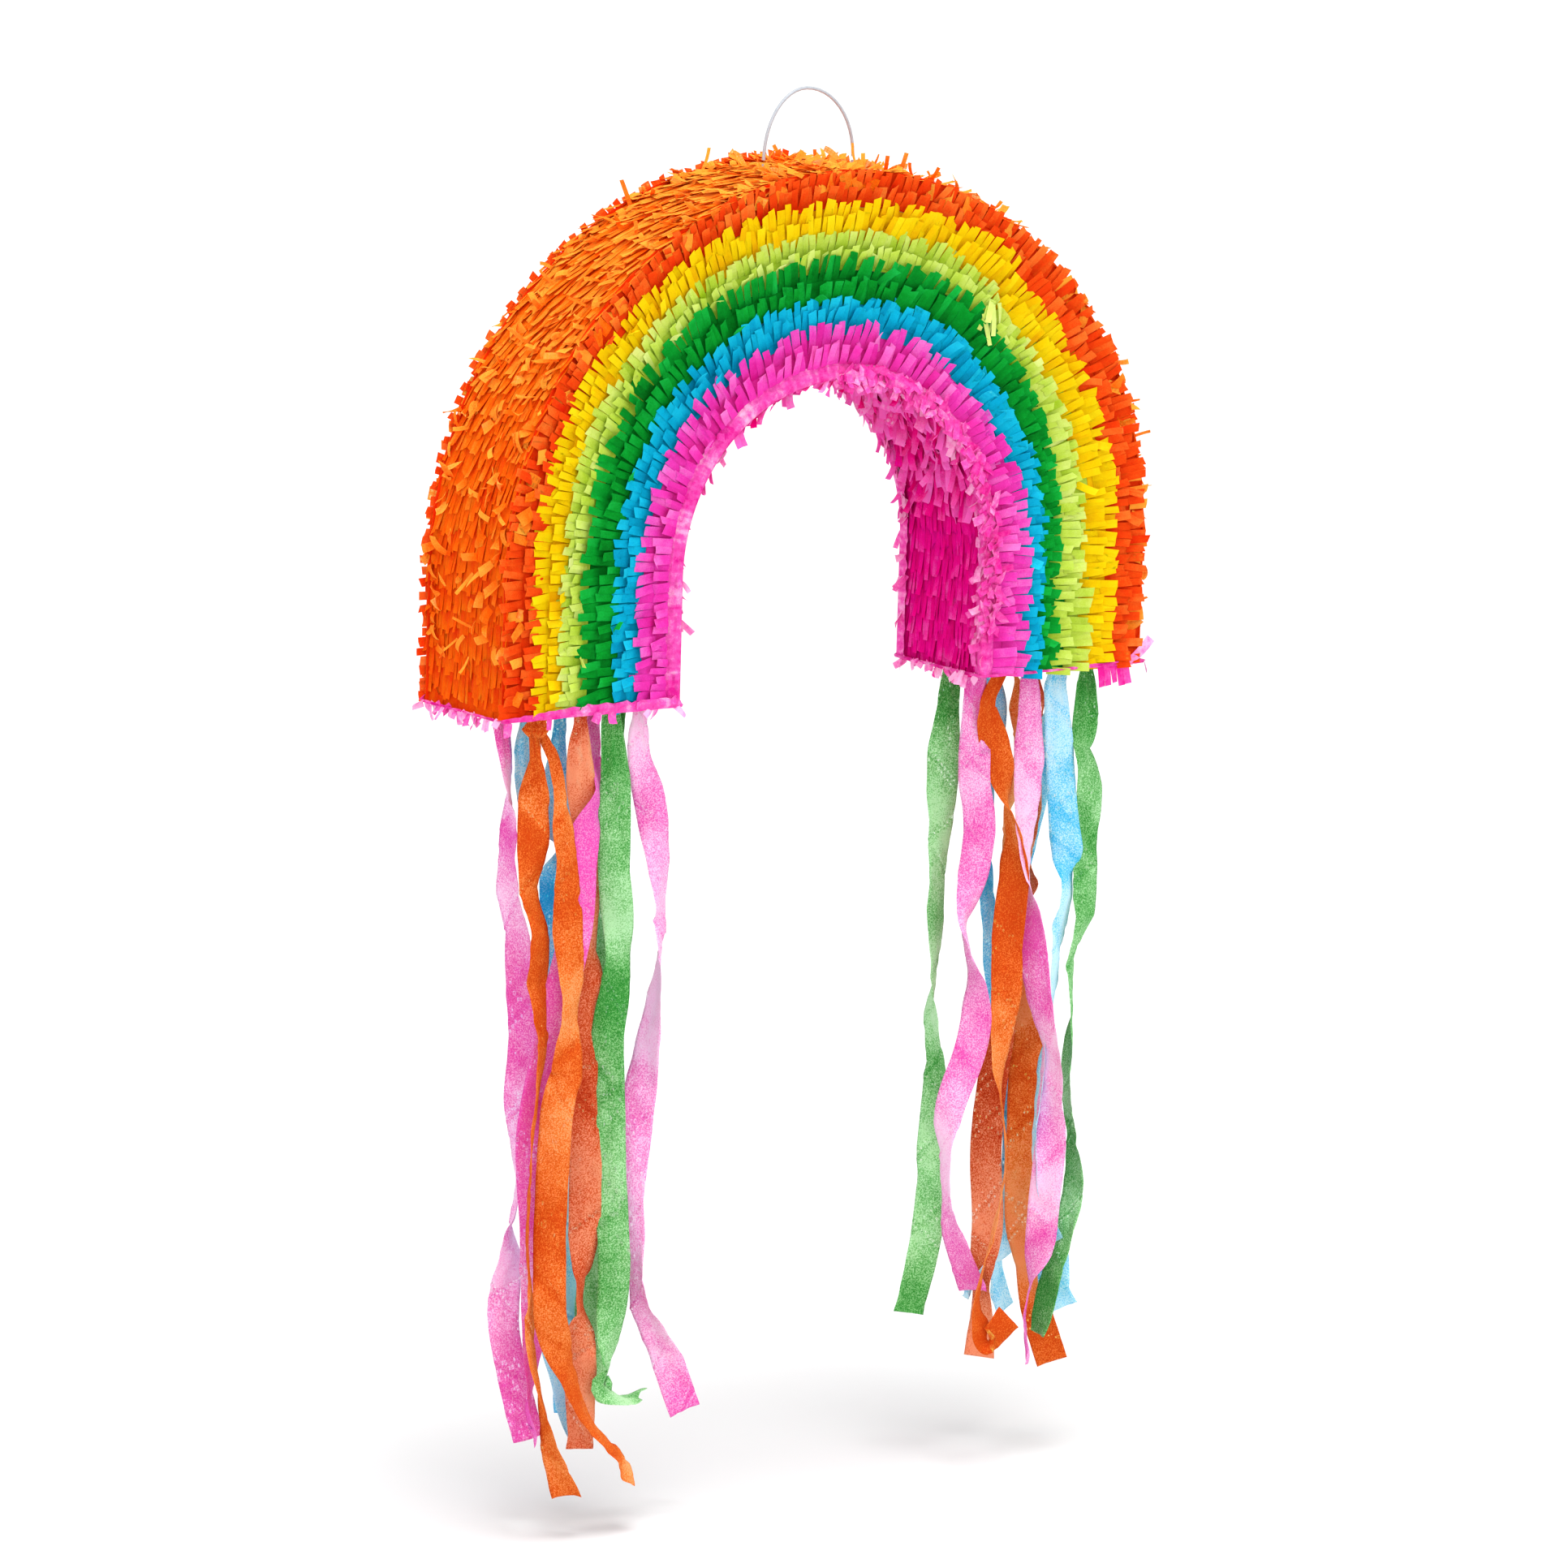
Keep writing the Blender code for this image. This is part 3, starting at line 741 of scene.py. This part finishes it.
def outer_wall():
    """Short hanging slips in rows across the depth, and loose curled ones."""
    rng = random.Random("outer wall")
    paper = Paper()
    paper.add_flattened("outer_fringe", squash_to(OUTER_BASE, min), OUTER_BASE_TONE)
    for side in (-1, 1):
        t = 0.0015
        while t < wall_length(OUTER_BASE) - 0.006:
            y = -FACE_Y + 0.0005
            while y < FACE_Y - 0.001:
                y += outer_slip(rng, paper, side, t, y)
            t += OUTER_PITCH * rng.uniform(0.92, 1.08)
    curled_slips(rng, paper)
    paper.build("outer_wall_fringe", "shell", "tissue_orange", ("outer_fringe",))


def curled_slips(rng, paper):
    """Loose slips that stand off the outer wall and its two corners."""
    for side in (-1, 1):
        for _ in range(CURLED_EACH_SIDE):
            t = rng.uniform(0.0, 1.0) ** 1.7 * (wall_length(OUTER_BASE) - 0.03)
            point, out, down = on_wall(OUTER_BASE, side, t)
            near_edge = rng.random() < 0.45
            y = rng.choice((-1, 1)) * rng.uniform(0.024, 0.036)
            point.y = y if near_edge else rng.uniform(-0.034, 0.034)
            point += out * rng.uniform(0.0008, 0.0026)
            along = turned(down, out, rng.gauss(0, 0.7))
            # Slips higher on the wall are painted lighter: painted light from above.
            loose_slip(rng, paper, point, along, out, "curled",
                       painted_top_light=0.28 * max(out.z, 0.0), steps=6, tip_tone=0.25)
    for _ in range(STRAYS):
        side = rng.choice((-1, 1))
        point, out, down = on_wall(OUTER_BASE, side, rng.uniform(0.0, 0.36))
        point.y = rng.uniform(-0.034, 0.034)
        along = turned(down, out, rng.uniform(-3.1, 3.1))
        loose_slip(rng, paper, point + out * 0.001, along, out, "stray",
                   steps=7, tip_tone=0.2)


def corner_slips():
    """Slips of the face's outer edge that were folded on to the wall."""
    rng = random.Random("corners")
    paper = Paper()
    for face in (-1, 1):
        s = CORNER_END
        while s < arch_length(CORNER_REACH) - CORNER_END:
            wide = rng.uniform(*LOOSE["corner"][0])
            if rng.random() < CORNER_SHARE:
                point, out = on_arch(CORNER_REACH, s)
                point.y = face * (GLUED_Y + 0.0016)
                normal = Vector((0, face, 0))
                along = turned(out, normal, rng.gauss(0, 0.35))
                loose_slip(rng, paper, point, along, normal, "corner", width=wide, cup=0.05)
            s += wide * rng.uniform(0.8, 1.8)
    paper.build("corner_slips", "shell", "tissue_orange")


def inner_slip(rng, paper, side, t, y):
    """One slip of the inner wall. Returns its width and how loosely it hangs."""
    point, out, down = on_wall(INNER_BASE, side, t + rng.gauss(0, 0.0008))
    loose = out.z ** 0.7 if out.z > 0.20 else 0.0
    wide = WALL_SLIP * (1 + 0.9 * loose) * rng.uniform(0.7, 1.3)
    point.y = y + wide / 2
    length = INNER_LONG * rng.uniform(0.82, 1.1) * (1 - 0.15 * loose)
    length = min(length, wall_length(INNER_BASE) - t + 0.001)
    along = turned(down, -out, rng.gauss(0, 0.05 + 0.3 * loose))
    lift = rng.uniform(0.05, 0.13) + loose * rng.uniform(0.2, 0.9)
    tone = rng.gauss(0.30, 0.08 + 0.14 * loose) + 0.30 * loose
    slip(paper, point, along, -out, wide * 0.93, length, lift,
         rng.gauss(-0.05, 0.15 + 0.7 * loose), rng.gauss(0, 0.2 + 0.4 * loose), tone,
         cup=rng.gauss(0, 0.08), tip_tone=0.22 + 0.20 * loose)
    return wide, loose


def inner_wall():
    """Deep pink rows down each side; loose hanging slips under the arch."""
    rng = random.Random("inner wall")
    paper = Paper()
    for side in (-1, 1):
        t = 0.0
        while t < wall_length(INNER_BASE) - 0.003:
            y = -FACE_Y + 0.002
            while y < FACE_Y - 0.002:
                wide, loose = inner_slip(rng, paper, side, t, y)
                y += wide
            t += INNER_PITCH * rng.uniform(0.9, 1.1) * (0.8 if loose else 1.0)
    paper.add_flattened("inner_fringe", squash_to(INNER_BASE, max))
    paper.build("inner_wall_fringe", "shell", "tissue_magenta", ("inner_fringe",))


def stray_pinks():
    """Light slips that hang from the inner edges into the gap."""
    rng = random.Random("stray pinks")
    paper = Paper()
    for _ in range(INNER_EDGE_SLIPS):
        side = rng.choice((-1, 1))
        t = rng.uniform(0.0, wall_length(R_IN) - 0.01)
        point, out, down = on_wall(R_IN, side, t)
        point.y = rng.choice((-1, 1)) * rng.uniform(0.030, 0.0375)
        point -= out * rng.uniform(-0.0005, 0.0012)
        along = turned(down, -out, rng.gauss(0, 0.5))
        loose_slip(rng, paper, point, along, -out, "inner edge")
    for _ in range(INNER_FACE_SLIPS):
        t = rng.uniform(-0.02, wall_length(R_IN) - 0.02)
        point, out, _ = on_wall(R_IN, 1, abs(t))
        point += out * rng.uniform(0.0005, 0.0080)
        point.y = -FACE_Y - rng.uniform(0.0012, 0.0022)
        along = turned(-out, FRONT, rng.gauss(0, 0.9))
        loose_slip(rng, paper, point, along, FRONT, "inner face")
    paper.build("inner_edge_slips", "shell", "tissue_trim_pink")


# Smooth folded strips

def folded_edge(side, label):
    """The pink strip folded over a face's inner edge, wrinkled along its run."""
    paper = Paper()
    rings, tones = [], []
    for i in range(EDGE_STEPS + 1):
        s = arch_length(R_IN) * i / EDGE_STEPS
        point, out = on_arch(R_IN, s)
        top, under = [], []
        for k, (rise, y) in enumerate(EDGE_PROFILE):
            seed = Vector((s * 120, k * 0.55, side * 7.0))
            puff = noise.noise(seed) * 0.0008 + noise.noise(seed * 3.3) * 0.0004
            ragged = wavy(s * 210, side * 3.0, k) * 0.0016
            at_edge = k in (0, len(EDGE_PROFILE) - 1)
            place = point + out * (rise + (ragged if at_edge else puff * 0.4))
            y += puff * 0.6
            top.append(Vector((place.x, side * y, place.z)))
            under.append(Vector((place.x + out.x * PLY, side * (y - PLY),
                                 place.z + out.z * PLY)))
        rings.append(top + under[::-1])
        tones.append(0.44 + 0.5 * wavy(s * 60, side, 2.0) + 0.3 * wavy(s * 420, side, 7.0))
    paper.strip(rings, tones)
    paper.build(f"{label}_inner_edge", "shell", "tissue_trim_pink", (f"{label}_edge_strip",))


def foot_outline(low_x, high_x):
    """(point, outward direction, side, part of the side) in steps round a foot."""
    corners = [(low_x, -FACE_Y), (high_x, -FACE_Y), (high_x, FACE_Y), (low_x, FACE_Y)]
    walk = []
    for k, (x0, y0) in enumerate(corners):
        x1, y1 = corners[(k + 1) % 4]
        run = Vector((x1 - x0, y1 - y0, 0))
        count = round(run.length / FOOT_STEP)
        for i in range(count):
            f = i / count
            out = Vector((run.y, -run.x, 0)).normalized()
            if f * run.length < FOOT_CORNER:
                out = (out - run.normalized()).normalized()
            walk.append((Vector((x0, y0, 0)) + run * f, out, k, f))
    return walk


def foot_wrap(low_x, high_x, height):
    """The crumpled pink strip round one leg's foot. height(k, f) is in metres."""
    paper = Paper()
    rings, tones = [], []
    for i, (point, out, k, f) in enumerate(foot_outline(low_x, high_x)):
        tall = height(k, f)
        profile = (
            (-0.0060, -0.0002), (-0.0010, -0.0006), (0.0016, -0.0004),
            (0.0020, tall * 0.35), (0.0020, tall * 0.7), (0.0014, tall),
        )
        top, under = [], []
        for j, (reach, rise) in enumerate(profile):
            puff = wavy(i * 0.55, j * 0.8, low_x * 40) * 0.0014
            jag = wavy(i * 0.9, low_x * 30, 5.0) * 0.32 * tall
            place = point + out * (reach + (puff if j > 1 else 0.0))
            place.z = BASE_Z + rise + (jag if j > 3 else 0.0)
            top.append(place)
            under.append(place - out * PLY + Vector((0, 0, PLY)))
        rings.append(top + under[::-1])
        tones.append(0.40 + 0.6 * wavy(i * 0.35, low_x, 1.0))
    paper.strip(rings, tones, closed=True)
    return paper


def foot_slips(rng, paper, low_x, high_x, sides, share):
    """Small pale slips poking down and out from under the foot."""
    for point, out, k, _ in foot_outline(low_x, high_x):
        if k in sides and rng.random() <= share:
            root = point + out * 0.0012
            root.z = BASE_Z + rng.uniform(-0.0010, 0.0014)
            along = turned(DOWN, out, rng.gauss(0, 0.6))
            loose_slip(rng, paper, root, along, out, "foot")


# A foot strip's height on side k (front, right, back, left), f along that side

def left_height(k, f):
    return (0.0014 + 0.0036 * min(1.0, f * 2.4), 0.0026, 0.0050 - 0.0020 * f, 0.0008)[k]


def right_height(k, f):
    return (0.0008 + 0.0014 * max(0.0, f * 2.0 - 1.0), 0.0012, 0.0032, 0.0012)[k]


def right_tabs(rng, paper):
    """The longer tabs and the folded-out corner at the front of the right foot."""
    for k in range(TABS):
        root = Vector((TAB_X + TAB_PITCH * k, -FACE_Y - 0.0012, BASE_Z + 0.0010))
        slip(paper, root, Vector((0.12, 0, -1)).normalized(), FRONT, TAB_WIDTH,
             rng.uniform(0.0085, 0.0125), 0.08, rng.uniform(-0.2, 0.2),
             rng.gauss(0, 0.2), rng.uniform(0.1, 0.35))
    corner = Vector((R_OUT - 0.010, -FACE_Y - 0.0020, BASE_Z + 0.0010))
    slip(paper, corner, Vector((0.78, 0, 0.62)), FRONT, width=0.0050, length=0.019,
         lift=0.15, bend=-0.5, roll=0.4, tone=0.75)


def foot_trims():
    """Both feet's strips, each with (sides, share) of small slips."""
    rng = random.Random("feet")
    for label, low_x, high_x, height, slips in (
            ("left", -R_OUT, -R_IN, left_height, (((3,), 0.85), ((0, 1, 2), 0.14))),
            ("right", R_IN, R_OUT, right_height, (((3, 1), 0.55), ((0, 2), 0.06)))):
        paper = foot_wrap(low_x, high_x, height)
        for sides, share in slips:
            foot_slips(rng, paper, low_x, high_x, sides, share)
        if label == "right":
            right_tabs(rng, paper)
        paper.build(f"{label}_foot_wrap", "shell", "tissue_trim_pink",
                    (f"{label}_base_trim",))


# Streamers

def streamer_knot():
    """The crumpled knot under the left leg, its folds running up to the base."""
    low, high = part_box("left_streamer_knot")
    middle = (low + high) / 2
    paper = Paper()
    rings, tones = [], []
    for radius, rise in KNOT_PROFILE:
        ring = []
        for k in range(KNOT_AROUND):
            a = 2 * pi * k / KNOT_AROUND
            x, y = cos(a), sin(a)
            fold = wavy(x * 2.6, y * 2.6, rise * 160)
            fine = wavy(x * 7, y * 7, rise * 260)
            r = radius * (1 + 0.42 * fold + 0.16 * fine)
            ring.append(Vector((middle.x + r * x, middle.y + r * y, BASE_Z + rise)))
        rings.append(ring)
        tones.append(0.24 + 0.5 * wavy(rise * 400, 0.0, 2.0))
    paper.strip(rings, tones)
    paper.build("left_knot_tissue", "shell", "streamer_orange", ("left_streamer_knot",))


def eased(stations, f):
    """Catmull-Rom through the stations, f from 0 to 1 along them."""
    place = f * (len(stations) - 1)
    i = min(int(place), len(stations) - 2)
    t = place - i
    p0, p1 = stations[max(i - 1, 0)], stations[i]
    p2, p3 = stations[i + 1], stations[min(i + 2, len(stations) - 1)]
    return [
        0.5 * (2 * b + (c - a) * t + (2 * a - 5 * b + 4 * c - d) * t * t
               + (3 * b - a - 3 * c + d) * t ** 3)
        for a, b, c, d in zip(p0, p1, p2, p3)
    ]


def kinks(name):
    """Small sharp bends every 2 to 4 cm: (place down the ribbon, x, y, turn, tone); the tone is
    painted light, a step for the flat facet after each bend.
    """
    rng = random.Random(name)
    bends, place = [(0.0, 0.0, 0.0, 0.0, 0.0)], 0.0
    while place < 0.45:
        place += rng.uniform(0.016, 0.042)
        bends.append((place, rng.gauss(0, 0.0014), rng.gauss(0, 0.0011),
                      radians(rng.gauss(0, 15)), rng.gauss(0, 0.20)))
    return bends


def bent(bends, place):
    """The kinks' x, y, turn and tone (painted facet light) at a place, straight from bend to
    bend.
    """
    for before, after in zip(bends, bends[1:]):
        if place <= after[0]:
            f = (place - before[0]) / (after[0] - before[0])
            return [a + (b - a) * f for a, b in zip(before[1:], after[1:])]
    return bends[-1][1:]


def middle_line(name, stations, length):
    """(point, turn, painted facet light as tone) at each step down the middle of a ribbon."""
    bends, line = kinks(name), []
    for i in range(RINGS + 1):
        drop, x, y, turn = eased(stations, i / RINGS)
        dx, dy, dturn, tone = bent(bends, length * i / RINGS)
        line.append((Vector((x + dx, y + dy, BASE_Z - drop)),
                     radians(turn) + dturn, tone))
    return line


def clear_of_base(spot, hinge_y):
    """The spot, moved so that it stays under the base when the ribbon swings."""
    way = 1 if hinge_y > FRONT_ROW_Y else -1
    most = SWING_ROOM + SWING_SLOPE * max(BASE_Z - spot.z, 0.0)
    over = (spot.y - hinge_y) * way - most
    return spot - Vector((0, way * over, 0)) if over > 0 else spot


def creases(walked, u, seed):
    """How sharply the ribbon is creased here, 0 to 1, along slanting lines."""
    sharp = 0.0
    for k, slant in enumerate((0.0060, -0.0095)):
        place = (walked + u * slant) * (13 + 6 * k)
        line = abs(wavy(place, seed * 1.7, 20.0 + k))
        sharp = max(sharp, 1 - line / 0.045)
    return max(0.0, sharp)


def cross_section(point, wide, normal, walked, seed, close, gather, hinge_y):
    """A ribbon's ring at one step, and how much deeper its creases make it."""
    crease = wavy(walked * 34, seed, 0.0)
    cup = 0.10 + 0.16 * wavy(walked * 16, seed, 4.0)
    top, under, folds = [], [], []
    for k in range(ACROSS + 1):
        u = 2 * k / ACROSS - 1
        fold = creases(walked, u, seed)
        ruffle = wavy(walked * 90, u * 1.6, seed)
        fine = wavy(walked * 260, u * 4.0, seed + 3)
        pleat = sin(u * 7.0 + seed) * close * 0.0013
        lift = (cup * (u * u - 0.4) * STRIP_WIDTH * 0.5 + ruffle * 0.0009
                + fine * 0.00022 + crease * u * 0.0018 + pleat + fold * 0.0007)
        edge = 1 + 0.035 * wavy(walked * 70, u, seed + 9)
        reach = u * STRIP_WIDTH / 2 * (1 - gather * close) * edge
        spot = clear_of_base(point + wide * reach + normal * lift, hinge_y)
        top.append(spot)
        under.append(spot - normal * PLY)
        folds.append(0.26 * fold)
    return top + under[::-1], folds


def streamer(label):
    """One tissue ribbon down its stations, creased and a little cupped."""
    side, colour = label.split("_")[:2]
    name = label.replace("_", "_streamer_", 1)
    millimetres, pale, stations = STREAMERS[label]
    length = millimetres / 1000
    stations = [(drop / 1000, x / 1000, y / 1000, turn) for drop, x, y, turn in stations]
    gather, over = KNOT_GATHERED if label in KNOTTED else GATHERED
    seed = sum(map(ord, name)) * 0.37
    line = middle_line(name, stations, length)
    rings, tones, walked = [], [], 0.0
    for i, (point, turn, painted_facet_light) in enumerate(line):
        before, after = line[max(i - 1, 0)][0], line[min(i + 1, RINGS)][0]
        onward = (after - before).normalized()
        if i:
            walked += (point - line[i - 1][0]).length
        wide = Vector((cos(turn), sin(turn), 0))
        wide = (wide - onward * wide.dot(onward)).normalized()
        close = max(0.0, 1 - walked / over)
        ring, folds = cross_section(point, wide, wide.cross(onward), walked, seed,
                                    close, gather, stations[0][2])
        rings.append(ring)
        shade = pale + 0.60 * wavy(walked * 15, seed, 8.0) + painted_facet_light
        shades = [min(max(shade - fold - 0.25 * close, 0.02), 0.95) for fold in folds]
        tones.append(shades + shades[::-1])
    paper = Paper()
    paper.strip(rings, tones)
    ribbon = paper.build(f"{name}_tissue", name, f"streamer_{colour}", (name,))
    for polygon in ribbon.data.polygons:
        polygon.use_smooth = True


# Hanging cord

def hanging_cord():
    """The loop: two quarter ovals that rise from the crown and meet on top."""
    low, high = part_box("hanging_cord")
    radius = -low.y
    left, right = low.x + radius, high.x - radius
    foot, top = low.z, high.z - radius
    curve = bpy.data.curves.new("cord_loop", "CURVE")
    curve.dimensions = "3D"
    curve.bevel_depth = radius
    curve.bevel_resolution = 3
    curve.use_fill_caps = True
    spline = curve.splines.new("POLY")
    spline.points.add(CORD_STEPS)
    length, last = 0.0, None
    for i, point in enumerate(spline.points):
        turn = pi * (1 - i / CORD_STEPS)
        reach = -left if turn > pi / 2 else right
        co = Vector((reach * cos(turn), 0.0, foot + (top - foot) * sin(turn)))
        point.co = (*co, 1.0)
        length += (co - last).length if last else 0.0
        last = co
    curve.materials.append(MATERIALS["cord"])
    cord = linked("cord_loop", curve)
    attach(cord, "hanger")
    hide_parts("hanging_cord")


# Camera, light and floor

def camera():
    az, el, roll = map(radians, (AZIMUTH, ELEVATION, ROLL))
    back = Vector((sin(az) * cos(el), -cos(az) * cos(el), sin(el)))
    right = (-back).cross(Vector((0, 0, 1))).normalized()
    up = back.cross(right)
    across = right * cos(roll) + up * sin(roll)
    upward = up * cos(roll) - right * sin(roll)
    data = bpy.data.cameras.new("camera")
    data.lens = LENS
    data.sensor_width = SENSOR
    data.clip_end = 100.0
    obj = linked("camera", data)
    turn = Matrix((across, upward, back)).transposed().to_4x4()
    obj.matrix_world = Matrix.Translation(TARGET + back * DISTANCE) @ turn
    bpy.context.scene.camera = obj


def studio():
    """An even white world, two wide suns and a white floor under the streamers."""
    world = bpy.data.worlds.new("studio")
    world.use_nodes = True
    background = world.node_tree.nodes["Background"]
    background.inputs["Color"].default_value = (1, 1, 1, 1)
    background.inputs["Strength"].default_value = WORLD_LIGHT
    bpy.context.scene.world = world
    for name, direction, strength, spread in SUNS:
        data = bpy.data.lights.new(name, "SUN")
        data.energy = strength
        data.angle = radians(spread)
        obj = linked(name, data)
        obj.rotation_euler = Vector(direction).to_track_quat("-Z", "Y").to_euler()
    mesh = bpy.data.meshes.new("floor")
    corners = ((-1, -1), (1, -1), (1, 1), (-1, 1))
    mesh.from_pydata([(x * FLOOR_HALF, y * FLOOR_HALF, FLOOR_Z) for x, y in corners],
                     [], [(0, 1, 2, 3)])
    mesh.materials.append(floor_material())
    linked("floor", mesh)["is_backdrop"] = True
    bpy.context.scene.view_settings.view_transform = "Standard"


def dress_cad():
    """The card, knots and flap keep their CAD shapes and get real materials."""
    for material, nodes in DRESSED.items():
        for node in nodes:
            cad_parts[node].material_slots[0].material = MATERIALS[material]


camera()
MATERIALS.update(card=card_material(), cord=cord_material())
MATERIALS.update((n, fringe_tissue(n, c)) for n, c in TISSUES.items())
MATERIALS.update((n, streamer_tissue(n, c)) for n, c in STREAMER_TISSUES.items())
hanging_cord()
dress_cad()
faces()
outer_wall()
corner_slips()
inner_wall()
stray_pinks()
folded_edge(-1, "front")
folded_edge(1, "back")
foot_trims()
streamer_knot()
for streamer_label in STREAMERS:
    streamer(streamer_label)
studio()

final_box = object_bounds()
[[list(corner) for corner in box] for box in (cad_box, final_box)]
